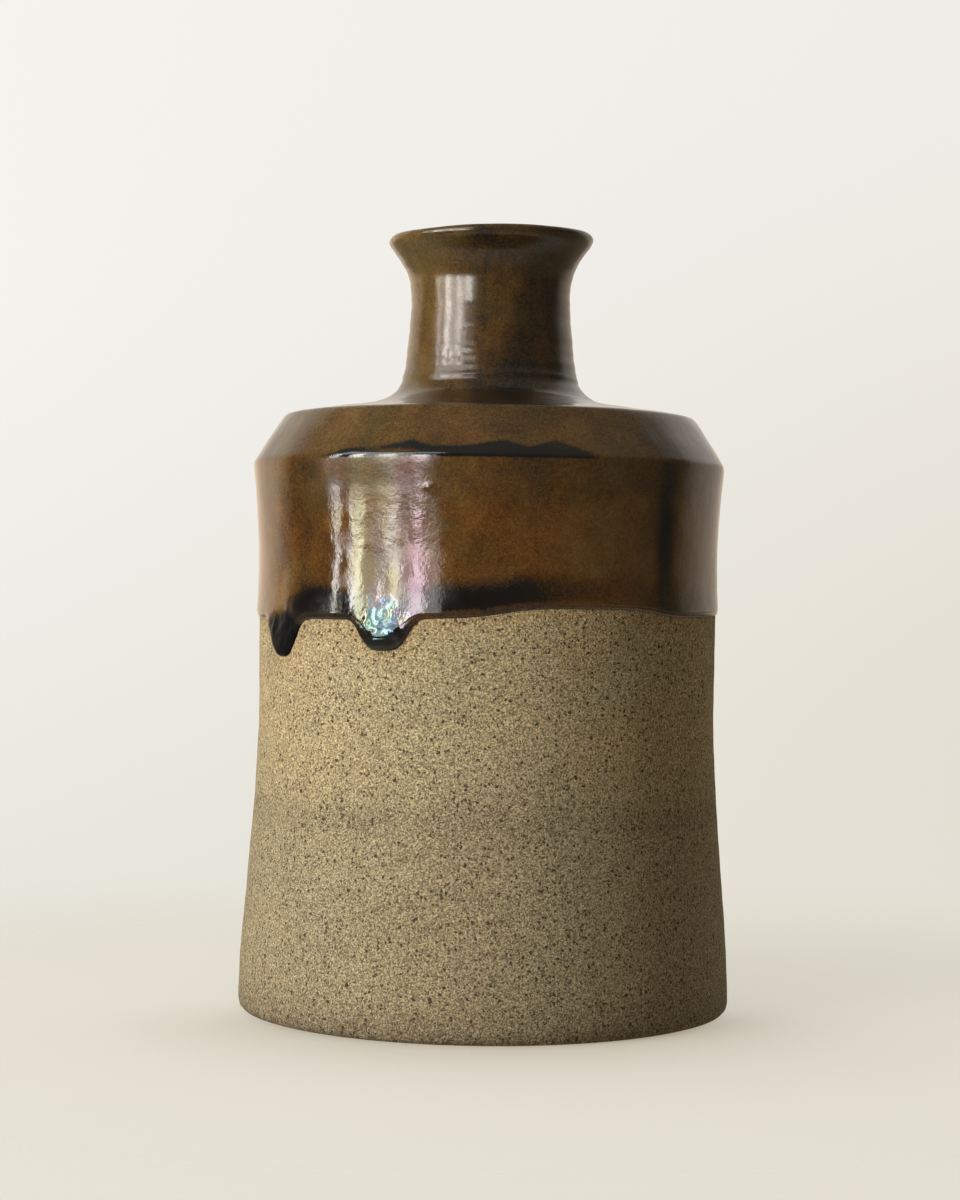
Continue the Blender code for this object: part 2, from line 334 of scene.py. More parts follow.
def column_outline(node, azimuth, first_of, second_of):
    """The outline of a turned node at its column nearest an azimuth, walked from one point to the end.

    first_of picks the starting point among (radius, height) rows, second_of the neighbour to walk to.
    """
    places, index = np.unique(np.round(corners_of(node) / SAME_POINT), axis=0, return_inverse=True)
    index = index.reshape(-1)
    places = places * SAME_POINT
    radius = np.hypot(places[:, 0], places[:, 1])
    angle = np.arctan2(places[:, 0], -places[:, 1])
    wide = radius > radius.max() / 2
    nearest = angle[wide][np.abs(wrapped(angle[wide] - azimuth)).argmin()]
    in_column = np.abs(wrapped(angle - nearest)) * radius < 2 * SAME_POINT
    joined = {int(i): set() for i in np.flatnonzero(in_column)}
    for edge in node.data.edges:
        a, b = (int(index[v]) for v in edge.vertices)
        if a != b and in_column[a] and in_column[b]:
            joined[a].add(b)
            joined[b].add(a)
    rows = np.column_stack([radius, places[:, 2]])
    start = first_of(list(joined), rows)
    walk = [start, second_of(list(joined[start]), rows)]
    while True:
        onwards = [i for i in joined[walk[-1]] if i != walk[-2]]
        if not onwards or start in onwards:
            break
        walk.append(onwards[0])
    return rows[walk]


def lowest(indices, rows):
    return min(indices, key=lambda i: rows[i, 1])


def lowest_on_axis(indices, rows):
    return min(indices, key=lambda i: (rows[i, 0] > SAME_POINT, rows[i, 1]))


def widest(indices, rows):
    return max(indices, key=lambda i: rows[i, 0])


def fine_line(points):
    """A smooth line through the points, as rows about LINE_STEP apart: centripetal Catmull-Rom."""
    chord = np.hypot(*np.diff(points, axis=0).T)
    knots = np.sqrt(chord)
    slopes = np.diff(points, axis=0) / knots[:, None]
    tangents = np.vstack([slopes[:1], np.zeros((len(points) - 2, 2)), slopes[-1:]])
    before, after = knots[:-1, None], knots[1:, None]
    tangents[1:-1] = (after * slopes[:-1] + before * slopes[1:]) / (before + after)
    rows = [points[:1]]
    for i, length in enumerate(chord):
        share = np.linspace(0, 1, max(2, int(length / LINE_STEP) + 2))[1:, None]
        lead = (1 + 2 * share) * (1 - share) ** 2
        trail = share ** 2 * (3 - 2 * share)
        pull = knots[i] * share * (1 - share)
        rows.append(
            lead * points[i] + trail * points[i + 1]
            + pull * ((1 - share) * tangents[i] - share * tangents[i + 1])
        )
    return np.vstack(rows)


class Line:
    """A fine outline that gives points and outward normals by the distance run along it."""

    def __init__(self, points):
        self.points = fine_line(points)
        self.run = np.concatenate([[0], np.cumsum(np.hypot(*np.diff(self.points, axis=0).T))])
        tangent = np.gradient(self.points, self.run, axis=0)
        tangent /= np.hypot(*tangent.T)[:, None]
        self.normals = np.column_stack([tangent[:, 1], -tangent[:, 0]])
        self.length = self.run[-1]

    def at(self, run):
        """Radius, height and the normal's two parts at each distance along the line."""
        columns = (*self.points.T, *self.normals.T)
        return [np.interp(run, self.run, values) for values in columns]

    def crowded(self, start, end, rows, crowding, marked=()):
        """Distances from start to end, closer where the line turns and about each (place, reach) marked."""
        even = np.linspace(start, end, LINE_SAMPLES)
        normals = np.column_stack([np.interp(even, self.run, n) for n in self.normals.T])
        turning = np.concatenate([[0], np.hypot(*np.diff(normals, axis=0).T)])
        density = 1 + MARK_CROWDING * sum(bell(even - where, reach) for where, reach in marked)
        spread = np.cumsum((even[1] - even[0]) * density + crowding * turning)
        return np.interp(np.linspace(spread[0], spread[-1], rows), spread, even)


def axis_ended(outline):
    """The outline run on to the axis, where a flat floor has no corner in its middle."""
    if outline[-1, 0] < SAME_POINT:
        return outline
    return np.vstack([outline, [0, outline[-1, 1]]])


def hem_edge():
    """Azimuth and height of the coat's lowest point in each of its columns."""
    corners = corners_of(COAT)
    radius = np.hypot(corners[:, 0], corners[:, 1])
    angle = np.arctan2(corners[:, 0], -corners[:, 1])
    low = (radius > WIDEST * OUTERMOST_SHARE) & (corners[:, 2] < corners[:, 2].min() + SKIRT_HEIGHT)
    sides = np.round(angle / SAME_COLUMN).astype(int)
    edge = [
        (angle[low & (sides == side)].mean(), corners[low & (sides == side), 2].min())
        for side in np.unique(sides[low])
    ]
    return np.array(sorted(edge))


def read_hem():
    """Azimuth and height along the coat's lower edge, over three turns about the front.

    The level comes from the columns clear of the runs. A run hangs as low as the frame's columns there,
    with the steep sides that they are too far apart to hold.
    """
    edge = hem_edge()
    away = [np.abs(wrapped(edge[:, 0] - where * DEGREE)) / (half * DEGREE) for where, half, _ in RUNS]
    level = edge[np.minimum.reduce(away) > RUN_CLEARANCE]
    turn = np.array([2 * math.pi, 0])
    three_turns = np.vstack([level - turn, level, level + turn]) * (WIDEST, 1)
    hem = fine_line(three_turns) / (WIDEST, 1)
    heights = hem[:, 1].copy()
    for near, (where, half, bluntness) in zip(away, RUNS):
        drop = np.interp(where * DEGREE, *hem.T) - edge[near < 1, 1].min()
        aside = np.abs(wrapped(hem[:, 0] - where * DEGREE)) / (half * DEGREE)
        heights -= drop * np.exp(-aside ** bluntness)
    return np.column_stack([hem[:, 0], heights])


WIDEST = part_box("outer_glaze")[1].x
HEM = read_hem()
HEM_LEVEL = float(np.median(HEM[:, 1]))


def hem_height(azimuth):
    return np.interp(wrapped(azimuth), *HEM.T)


def read_outlines():
    """The clay's outline, and the skin: bare clay from the foot, then the coat's face down into the mouth."""
    body = column_outline(BODY, LEVEL_HEM_AZIMUTH, lowest_on_axis, widest)
    coat = column_outline(COAT, LEVEL_HEM_AZIMUTH, lowest, widest)
    bare = body[: body[:, 1].argmax()]
    bare = bare[bare[:, 1] < HEM[:, 1].min() - BARE_CLEARANCE]
    top = coat[:, 1].argmax()
    turned_up = np.flatnonzero(np.diff(coat[top:, 1]) > 0)[0]
    outside = coat[:top][coat[:top, 1] > coat[0, 1] + HEM_CLEARANCE]
    inside = coat[top : top + turned_up + 1]
    return axis_ended(body), np.vstack([bare, outside, inside])


BODY_OUTLINE, SKIN_OUTLINE = read_outlines()
LINER_OUTLINE = axis_ended(column_outline(LINER, LEVEL_HEM_AZIMUTH, lowest_on_axis, widest))
SKIN = Line(SKIN_OUTLINE)
LIP_TOP = SKIN_OUTLINE[:, 1].max()
LIP_RUN = SKIN.run[SKIN.points[:, 1].argmax()]
LIP_RADIUS = SKIN_OUTLINE[SKIN_OUTLINE[:, 1] > LIP_TOP - LIP_DEPTH, 0].max()


def place(start, end, score):
    """Distance along the skin, radius and height of its point from start to end that scores most."""
    within = np.flatnonzero((SKIN.run >= start) & (SKIN.run <= end))
    found = within[score(*SKIN.points[within].T).argmax()]
    return SKIN.run[found], *SKIN.points[found]


# The wall's top is the coat's widest place, the edge is the shoulder's corner above it, the waist is the
# neck's narrowest place, and the root is where the neck leaves the shoulder
SKIRT_RUN = place(0, LIP_RUN, lambda r, z: -np.abs(z - HEM[:, 1].max() - SKIRT_HEIGHT))[0]
WALL_RUN, WALL_RADIUS, WALL_TOP = place(SKIRT_RUN, LIP_RUN, lambda r, z: r)
EDGE_RUN = place(
    WALL_RUN, LIP_RUN,
    lambda r, z: np.where(r > EDGE_PAST_LIP * LIP_RADIUS, r * EDGE_LEAN[0] + z * EDGE_LEAN[1], 0),
)[0]
WAIST_RUN = place(EDGE_RUN, LIP_RUN, lambda r, z: -r)[0]
ROOT_RUN, ROOT_RADIUS, ROOT_HEIGHT = place(EDGE_RUN, WAIST_RUN, lambda r, z: -r - ROOT_LEAN * z)
UPWARD = slice(SKIN.points[:, 1].argmin(), SKIN.points[:, 1].argmax())


def run_at(height):
    """Distance along the skin of a height on the outside."""
    return np.interp(height, SKIN.points[UPWARD, 1], SKIN.run[UPWARD])


# ---- making meshes

def crowded_azimuths(count):
    """Azimuths once round, closer together where the hem is steep."""
    even = np.linspace(-math.pi, math.pi, AZIMUTH_STEPS + 1)
    rise = hem_height(even + HEM_SLOPE_STEP) - hem_height(even - HEM_SLOPE_STEP)
    steepness = np.abs(rise / (2 * HEM_SLOPE_STEP * WALL_RADIUS))
    shifts = range(-STEEP_REACH, STEEP_REACH + 1, 2)
    near = np.maximum.reduce([np.roll(steepness, shift) for shift in shifts])
    spread = np.concatenate([[0], np.cumsum(1 + HEM_CROWDING * near[1:])])
    return np.interp(np.arange(count) * spread[-1] / count, spread, even)


def ring_points(azimuth, radius, height):
    azimuth, radius, height = np.broadcast_arrays(azimuth, radius, height)
    return np.stack([radius * np.sin(azimuth), -radius * np.cos(azimuth), height], axis=-1)


def settled(points):
    """Points after the firing that left the bottle a little out of round and its lip off level."""
    points = points.copy()
    azimuth = np.arctan2(points[..., 0], -points[..., 1])
    radius = np.hypot(points[..., 0], points[..., 1])
    height = points[..., 2]
    standing = smoothstep(0, WALL_TOP / 3, height) * smoothstep(0, WALL_RADIUS / 2, radius)
    swell = OUT_OF_ROUND * standing * np.cos(2 * (azimuth - OUT_OF_ROUND_AZIMUTH))
    swell += OUT_OF_ROUND / 2 * standing * np.cos(3 * azimuth + height / WALL_TOP * 2)
    points[..., :2] *= (1 + swell / np.maximum(radius, SAME_POINT))[..., None]
    tilt = math.tan(LIP_TILT) * smoothstep(ROOT_HEIGHT, LIP_TOP, height)
    points[..., 2] += tilt * points[..., 0]
    return points


def grid_faces(columns, rows, loop):
    """Quads of a grid closed round its columns, and round its rows too when it is a loop."""
    column = np.arange(columns)[:, None]
    row = np.arange(rows if loop else rows - 1)[None, :]
    after, above = (column + 1) % columns, (row + 1) % rows
    quads = [column * rows + row, after * rows + row, after * rows + above, column * rows + above]
    return np.stack(np.broadcast_arrays(*quads), axis=-1).reshape(-1, 4)


def cap_faces(columns, rows):
    """Triangles from the grid's first and last rows to the two points on the axis that follow the grid."""
    first = np.arange(columns) * rows
    last = first + rows - 1
    low = [first, np.full(columns, columns * rows), np.roll(first, -1)]
    high = [last, np.roll(last, -1), np.full(columns, columns * rows + 1)]
    return np.stack(low, axis=-1).tolist() + np.stack(high, axis=-1).tolist()


def linked_object(name, data):
    made = bpy.data.objects.new(name, data)
    bpy.context.scene.collection.objects.link(made)
    return made


def turned_piece(name, points, loop, fields):
    """A smooth closed piece from a grid of points (column, row), with named numbers at each point.

    A grid that isn't a loop starts and ends on the axis, and the rows there become one point each.
    """
    columns, rows = points.shape[:2]
    corners = points.reshape(-1, 3)
    faces = grid_faces(columns, rows, loop).tolist()
    if not loop:
        corners = np.vstack([corners, points[:, 0].mean(axis=0), points[:, -1].mean(axis=0)])
        faces += cap_faces(columns, rows)
    mesh = bpy.data.meshes.new(name)
    mesh.from_pydata(settled(corners).tolist(), [], faces)
    for key, field in fields.items():
        values = np.broadcast_to(field, (columns, rows)).reshape(-1)
        if not loop:
            values = np.append(values, [values[0], values[rows - 1]])
        attribute = mesh.attributes.new(key, "FLOAT", "POINT")
        attribute.data.foreach_set("value", values.astype(np.float32))
    mesh.shade_smooth()
    mesh.update()
    return linked_object(name, mesh)


# ---- the coat's relief

def hem_nearness(azimuth, height):
    """Signed distance to the hem on the unrolled wall, positive above it, and the nearest hem's azimuth."""
    distance = np.full(np.broadcast(azimuth, height).shape, np.inf)
    nearest = np.zeros_like(distance)
    for offset in np.arange(-HEM_REACH, HEM_REACH, HEM_SEARCH_STEP):
        there = azimuth + offset / WALL_RADIUS
        away = np.hypot(offset, height - hem_height(there))
        closer = away < distance
        distance = np.where(closer, away, distance)
        nearest = np.where(closer, np.broadcast_to(there, closer.shape), nearest)
    return distance * np.sign(height - hem_height(azimuth)), nearest


def hem_drop(azimuth):
    """How far the hem hangs below its usual level."""
    return np.maximum(HEM_LEVEL - hem_height(azimuth), 0)


def in_run(nearest, low, high):
    """From 0 to 1 as the nearest hem hangs from low to high millimetres down, as it does in a run."""
    return smoothstep(low * MM, high * MM, hem_drop(nearest))


def bead_thickness(azimuth):
    """How far the coat's rolled edge stands off the clay, most at the tips of the runs."""
    return np.minimum(HEM_BEAD + RUN_BEAD_PER_DROP * hem_drop(azimuth), RUN_BEAD_MOST)


def coat_offset(distance, nearest):
    """The coat's face above the skin line near its hem: a rounded bead that thins out upwards."""
    thick = bead_thickness(nearest)
    width = HEM_BEAD_WIDTH * (thick / HEM_BEAD)
    rise = np.sqrt(1 - (1 - np.clip(distance / width, 0, 1)) ** 2)
    fade = HEM_BEAD_FADE + (RUN_FADE - HEM_BEAD_FADE) * in_run(nearest, 0, 2)
    body = thick * rise * (BEAD_REST + (1 - BEAD_REST) * bell(distance, fade))
    blended = (body + COAT_UNDERCUT) * (1 - smoothstep(SKIRT_BLEND, SKIRT_HEIGHT, distance))
    return blended - COAT_UNDERCUT * (distance < width)


def unrolled(azimuth, place_azimuth):
    """Distance round the wall from an azimuth in degrees."""
    return wrapped(azimuth - place_azimuth * DEGREE) * WALL_RADIUS


def spots(azimuth, height, places):
    """The sum of soft spots: (azimuth in degrees, height, half width, half height, strength)."""
    total = np.zeros(np.broadcast(azimuth, height).shape)
    for where, level, across, up, strength in places:
        total += strength * bell(np.hypot(unrolled(azimuth, where) / across, (height - level) / up), 1)
    return total


def throwing_rings(points, run):
    """The shallow spiral that fingers leave, on all that was thrown."""
    azimuth = np.arctan2(points[..., 0], -points[..., 1])
    height = points[..., 2]
    wander = 0.8 * np.sin(azimuth + height / (9 * MM)) + 0.6 * np.sin(2 * azimuth - height / (14 * MM))
    broad = np.sin(2 * math.pi * run / RING_PITCH + azimuth + wander)
    close = np.sin(2 * math.pi * run / CLOSE_RING_PITCH + azimuth - wander)
    on_neck = smoothstep(ROOT_RUN - 6 * MM, ROOT_RUN, run) * (1 - smoothstep(LIP_RUN - 3 * MM, LIP_RUN, run))
    return WALL_RINGS * broad * (1 - on_neck) + NECK_RINGS * (0.6 * broad + 0.5 * close) * on_neck


def small_marks(azimuth, height, nearest):
    """Blisters, pinholes, the crease round the neck's foot, and the largest run's ring and dimples."""
    total = np.zeros(np.broadcast(azimuth, height).shape)
    for where, level, width, rise in BLISTERS:
        total += rise * bell(np.hypot(unrolled(azimuth, where), height - level), width)
    at_neck = ROOT_RADIUS / WALL_RADIUS
    rng = np.random.default_rng(PINHOLE_SEED)
    for where in rng.uniform(*PINHOLE_SPAN, PINHOLES):
        level = PINHOLE_HEIGHT + rng.normal(0, PINHOLE_SCATTER)
        away = np.hypot(unrolled(azimuth, where) * at_neck, height - level)
        total -= PINHOLE_DEPTH * rng.uniform(0.3, 1) * bell(away, PINHOLE_WIDTH * rng.uniform(0.7, 1.5))
    crease = height - NECK_CREASE_HEIGHT - NECK_CREASE_WANDER * np.sin(3 * azimuth)
    total += NECK_CREASE * bell(crease, NECK_CREASE_WIDTH)
    up = height - RUN_RING_HEIGHT
    away = np.hypot(unrolled(azimuth, RUN_RING_AZIMUTH), up)
    total += RUN_RING * bell(away - RUN_RING_RADIUS, RUN_RING_WIDTH)
    near = bell(up, RUN_DIMPLES_REACH) * smoothstep(RUN_RING_RADIUS, 2 * RUN_RING_RADIUS, away)
    near = in_run(nearest, 1, 3.5) * (height < WALL_TOP) * near
    points = ring_points(azimuth, WALL_RADIUS, height)
    return total + RUN_DIMPLES * near * ripples(points, RUN_DIMPLE_LENGTH, 30, seed=5)


def coat_relief(azimuth, height, run, plain, distance, nearest):
    """How far the coat's face stands off the skin line."""
    texture = (
        throwing_rings(plain, run) * np.where(run < WALL_RUN, GLAZED_RINGS, 1)
        + GLAZE_SWELLS * ripples(plain * (1, 1, SWELL_STRETCH), GLAZE_SWELL_LENGTH, 30, seed=3)
        + GLAZE_RIPPLES * ripples(plain, GLAZE_RIPPLE_LENGTH, 30, seed=4)
    )
    offset = coat_offset(np.maximum(distance, 0), nearest) + small_marks(azimuth, height, nearest)
    return offset + smoothstep(0, 2 * MM, distance) * texture


def face_runs(hem_run):
    """Distances along the skin up the coat's face: each column's own near the hem, then shared by all."""
    share = np.expm1(SKIRT_CROWDING * np.linspace(0, 1, COAT_SKIRT_ROWS)) / math.expm1(SKIRT_CROWDING)
    skirt = hem_run + (SKIRT_RUN - hem_run) * share
    blisters, pinholes = run_at(BLISTERS[0][1]), run_at(PINHOLE_HEIGHT)
    marked = [(blisters, 1.2 * MM), (pinholes, 2.5 * MM), (WALL_RUN + 1.5 * MM, 1.8 * MM)]
    upper = SKIN.crowded(SKIRT_RUN, SKIN.length, COAT_UPPER_ROWS + 1, CORNER_CROWDING, marked)[1:]
    return np.hstack([skirt, np.broadcast_to(upper, (COAT_COLUMNS, COAT_UPPER_ROWS))])


def underside_runs(hem_run):
    """Distances along the skin back down the coat's underside, the last three rows each column's own."""
    down = SKIN.crowded(SKIRT_RUN, SKIN.length, COAT_UNDERSIDE_ROWS - 3, 3 * CORNER_CROWDING)[::-1]
    to_hem = SKIRT_RUN + (hem_run - SKIRT_RUN) * np.array([1, 2, 3]) / 3
    return np.hstack([np.broadcast_to(down, (COAT_COLUMNS, len(down))), to_hem])


def coat_grid():
    """The coat's closed grid, up its face from the hem over the lip and back underneath, and its fields."""
    azimuth = crowded_azimuths(COAT_COLUMNS)[:, None]
    hem_run = run_at(hem_height(azimuth))
    run = face_runs(hem_run)
    radius, height, out_r, out_z = SKIN.at(run)
    distance, nearest = hem_nearness(azimuth, height)
    distance = np.where(run < WALL_RUN, distance, SKIRT_HEIGHT * 2)
    plain = ring_points(azimuth, radius, height)
    offset = coat_relief(azimuth, height, run, plain, distance, nearest)
    face = ring_points(azimuth, radius + out_r * offset, height + out_z * offset)
    on_face = {
        "depth": glaze_depth(azimuth, height, run, distance, nearest),
        "olive": glaze_olive(azimuth, height, run, nearest),
        "film": glaze_film(azimuth, height),
        "sheen": glaze_sheen(azimuth, height, run),
        "matt": glaze_matt(azimuth, height, run, nearest),
    }
    radius, height, out_r, out_z = SKIN.at(underside_runs(hem_run))
    under = ring_points(azimuth, radius - out_r * COAT_SINK, height - out_z * COAT_SINK)
    hidden = np.zeros((COAT_COLUMNS, COAT_UNDERSIDE_ROWS))
    return np.concatenate([face, under], axis=1), {
        name: np.hstack([field, hidden]) for name, field in on_face.items()
    }


# ---- the coat's colour and shine

def along(azimuth, line):
    """A value that follows straight lines between (azimuth in degrees, value) points."""
    where, values = zip(*line)
    return np.interp(wrapped(azimuth) / DEGREE, where, values)


def hem_depth(height, distance, nearest, ragged):
    """What pooling along the hem and in the runs adds to the glaze's depth."""
    running = in_run(nearest, 1.2, 3)
    pooled = smoothstep(0.8 * MM, 1.7 * MM, distance)
    pooled = pooled * (1 - smoothstep(2.4 * MM, 6.6 * MM, distance + 0.15 * ragged))
    fallen = smoothstep(HEM_LEVEL + 1.5 * MM, HEM_LEVEL - 1 * MM, height) * running
    return (
        along(nearest, HEM_POOL) * pooled * (1 - 0.5 * running)
        + DEPTHS["hem_margin"] * bell(distance - 0.6 * MM, 0.6 * MM) * (1 - running)
        + DEPTHS["hem_lip"] * bell(distance, 0.2 * MM)
        + DEPTHS["run_edge"] * bell(distance, 2.4 * MM) * running
        + DEPTHS["run_tip"] * fallen
    )


def wave_depth(azimuth, height, ragged):
    """What the dark wave on the shoulder's slope adds to the glaze's depth."""
    above = height - WALL_TOP
    climb = along(azimuth, CHAMFER_WAVE) * MM + 0.08 * ragged
    wave = smoothstep(climb + 0.35 * MM, climb - 0.35 * MM, above) * smoothstep(0.3 * MM, 1.0 * MM, climb)
    lens = bell(above - LENS_RISE, LENS_HALF_HEIGHT) * bell(unrolled(azimuth, LENS_AZIMUTH), LENS_HALF_WIDTH)
    return DEPTHS["wave"] * wave * (1 - LENS_PALENESS * lens)


def glaze_depth(azimuth, height, run, distance, nearest):
    """How deep the glaze looks, 0 where it is thin and amber to 1 where it is pooled and near black."""
    points = ring_points(azimuth, WALL_RADIUS, height)
    ragged = MM * ripples(points, 7 * MM, 24, seed=13)
    drift = 0.04 * ripples(points, 16 * MM, 24, seed=11) + 0.02 * ripples(points, 5 * MM, 24, seed=12)
    # Painted shade near the wall's top, under the shoulder, deepens the glaze there
    shaded = smoothstep(WALL_TOP - 9 * MM, WALL_TOP - 3.5 * MM, height + 0.6 * ragged)
    on_wall = along(azimuth, WALL_DEPTH) + hem_depth(height, distance, nearest, ragged)
    # The spots add pools and a painted dark reflection
    on_wall += along(azimuth, TOP_SHADE) * shaded + spots(azimuth, height, WALL_POOLS_AND_DARK_REFLECTION)
    on_slope = wave_depth(azimuth, height, ragged)
    on_shoulder = DEPTHS["shoulder"] + along(azimuth, NECK_DEPTH)
    depth = DEPTHS["mean"] + drift + on_wall * (run < WALL_RUN)
    depth += on_slope * (run >= WALL_RUN) * (run < EDGE_RUN) + on_shoulder * (run > EDGE_RUN)
    depth += DEPTHS["root"] * bell(run - ROOT_RUN, 4 * MM)
    return np.clip(depth + DEPTHS["lip"] * bell(run - LIP_RUN, 1.5 * MM), 0, 1)


def glaze_olive(azimuth, height, run, nearest):
    """How far the brown leans to olive, 0 to 1."""
    points = ring_points(azimuth, WALL_RADIUS, height)
    olive = OLIVES["all"] + OLIVES["wall_top"] * smoothstep(WALL_TOP - 9 * MM, WALL_TOP - 3 * MM, height)
    olive += OLIVES["right"] * smoothstep(15 * DEGREE, 30 * DEGREE, azimuth) * (run < WALL_RUN)
    olive += OLIVES["shoulder"] * (run > WALL_RUN) + OLIVES["neck"] * (run > ROOT_RUN)
    olive += OLIVES["runs"] * in_run(nearest, 1, 3) * (height < HEM_LEVEL + 2 * MM)
    return np.clip(olive + OLIVES["patches"] * ripples(points, 9 * MM, 24, seed=15), 0, 1)


def glaze_film(azimuth, height):
    """Thickness in nanometres of the metallic bloom on the largest run, 0 where there is none."""
    across, up = unrolled(azimuth, RUN_RING_AZIMUTH), height - FILM_HEIGHT
    points = ring_points(azimuth, WALL_RADIUS, height)
    near = bell(np.hypot(across, up), FILM_REACH) + 0.12 * ripples(points, 2.5 * MM, 30, seed=17)
    return smoothstep(0.42, 0.56, near) * along(azimuth, FILM_THICKNESS)


def glaze_sheen(azimuth, height, run):
    """The cast of the glaze's shine on the wall: olive towards -1, lilac towards 1."""
    points = ring_points(azimuth, WALL_RADIUS, height)
    cast = along(azimuth, SHEEN) + 0.35 * ripples(points * (1, 1, 0.5), 4 * MM, 30, seed=16)
    return np.clip(cast, -1, 1) * (run < WALL_RUN)


def glaze_matt(azimuth, height, run, nearest):
    """How dull the shine is: some on the neck, in patches on the wall, most on the crawled left run."""
    crawled = bell(unrolled(nearest, RUNS[0][0]), CRAWLED_REACH) * in_run(nearest, 0.5, 2)
    crawled = crawled * smoothstep(HEM_LEVEL + 3 * MM, HEM_LEVEL, height) * (run < WALL_RUN)
    points = ring_points(azimuth, WALL_RADIUS, height)
    patches = WALL_MATT * smoothstep(-0.3, 1.3, ripples(points * (1, 1, 0.6), 3.2 * MM, 40, seed=18))
    patches = patches * smoothstep(PATCHES_FROM, PATCHES_FROM + 2 * DEGREE, azimuth)
    uneven = 1.2 * MM * ripples(points, 6 * MM, 30, seed=19)
    haze = HAZE * smoothstep(WALL_TOP - 11 * MM, WALL_TOP - 2.5 * MM, height + uneven)
    haze = haze * bell(wrapped(azimuth - HAZE_AZIMUTH), HAZE_HALF_WIDTH)
    patches = (np.maximum(patches, haze) + spots(azimuth, height, DULL_SPOTS)) * (run < WALL_RUN)
    on_neck = NECK_MATT * smoothstep(EDGE_RUN, ROOT_RUN, run) * (run > EDGE_RUN)
    return np.maximum(on_neck + patches, crawled)


def make_coat():
    points, fields = coat_grid()
    piece = turned_piece("iron_glaze_coat", points, loop=True, fields=fields)
    finish_piece(piece, glaze_material("iron_glaze", IRON_GLAZE_COLOURS), "outer_glaze")


# ---- the clay and the liner

def make_clay():
    azimuth = crowded_azimuths(CLAY_COLUMNS)[:, None]
    line = Line(BODY_OUTLINE)
    top = line.run[line.points[:, 1].argmax()]
    run = np.concatenate([
        line.crowded(SAME_POINT, top, CLAY_OUTER_ROWS, CORNER_CROWDING),
        line.crowded(top, line.length - SAME_POINT, CLAY_INNER_ROWS, CORNER_CROWDING)[1:],
    ])
    radius, height, out_r, out_z = line.at(run)
    outside = (run > line.run[line.points[:, 0].argmax()]) & (run < top)
    on_wall = outside & (height < HEM[:, 1].max() + SKIRT_HEIGHT)
    skin_radius = np.interp(height, SKIN.points[UPWARD, 1], SKIN.points[UPWARD, 0])
    sunk = np.where(on_wall, skin_radius - radius, 0)
    distance, _ = hem_nearness(azimuth, height[None, :])
    distance = np.where(on_wall, distance, -SKIRT_HEIGHT)
    bare = 1 - smoothstep(CLAY_RISE, CLAY_RISE + CLAY_RISE_FADE, distance)
    plain = ring_points(azimuth, radius, height)
    swells = CLAY_SWELLS * ripples(plain, CLAY_SWELL_LENGTH, 24, seed=21)
    marks = outside * (throwing_rings(plain, run) + swells) * smoothstep(0, CLAY_FOOT_FADE, height)
    offset = sunk * bare + marks * (1 - smoothstep(-1 * MM, 1 * MM, distance))
    points = ring_points(azimuth, radius + out_r * offset, height + out_z * offset)
    points[..., 2] = np.maximum(points[..., 2], 0)
    piece = turned_piece("stoneware_clay_body", points, loop=False, fields={"hem_distance": distance})
    finish_piece(piece, clay_material(), "stoneware_body")


def make_liner():
    azimuth = np.linspace(-math.pi, math.pi, LINER_COLUMNS, endpoint=False)[:, None]
    line = Line(LINER_OUTLINE)
    run = line.crowded(SAME_POINT, line.length - SAME_POINT, LINER_ROWS, CORNER_CROWDING)
    radius, height = line.at(run)[:2]
    top = height.max()
    height = height + LINER_STRETCH * smoothstep(top - LINER_STRETCH_FROM, top, height)
    points = ring_points(azimuth, radius, height)
    fields = {"depth": 0.55, "olive": 0.3}
    piece = turned_piece("liner_glaze_coat", points, loop=False, fields=fields)
    finish_piece(piece, glaze_material("liner_glaze", LINER_GLAZE_COLOURS), "liner_glaze")


def finish_piece(piece, material, node):
    piece.data.materials.append(material)
    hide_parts(node)
    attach(piece, "root")


# ---- materials

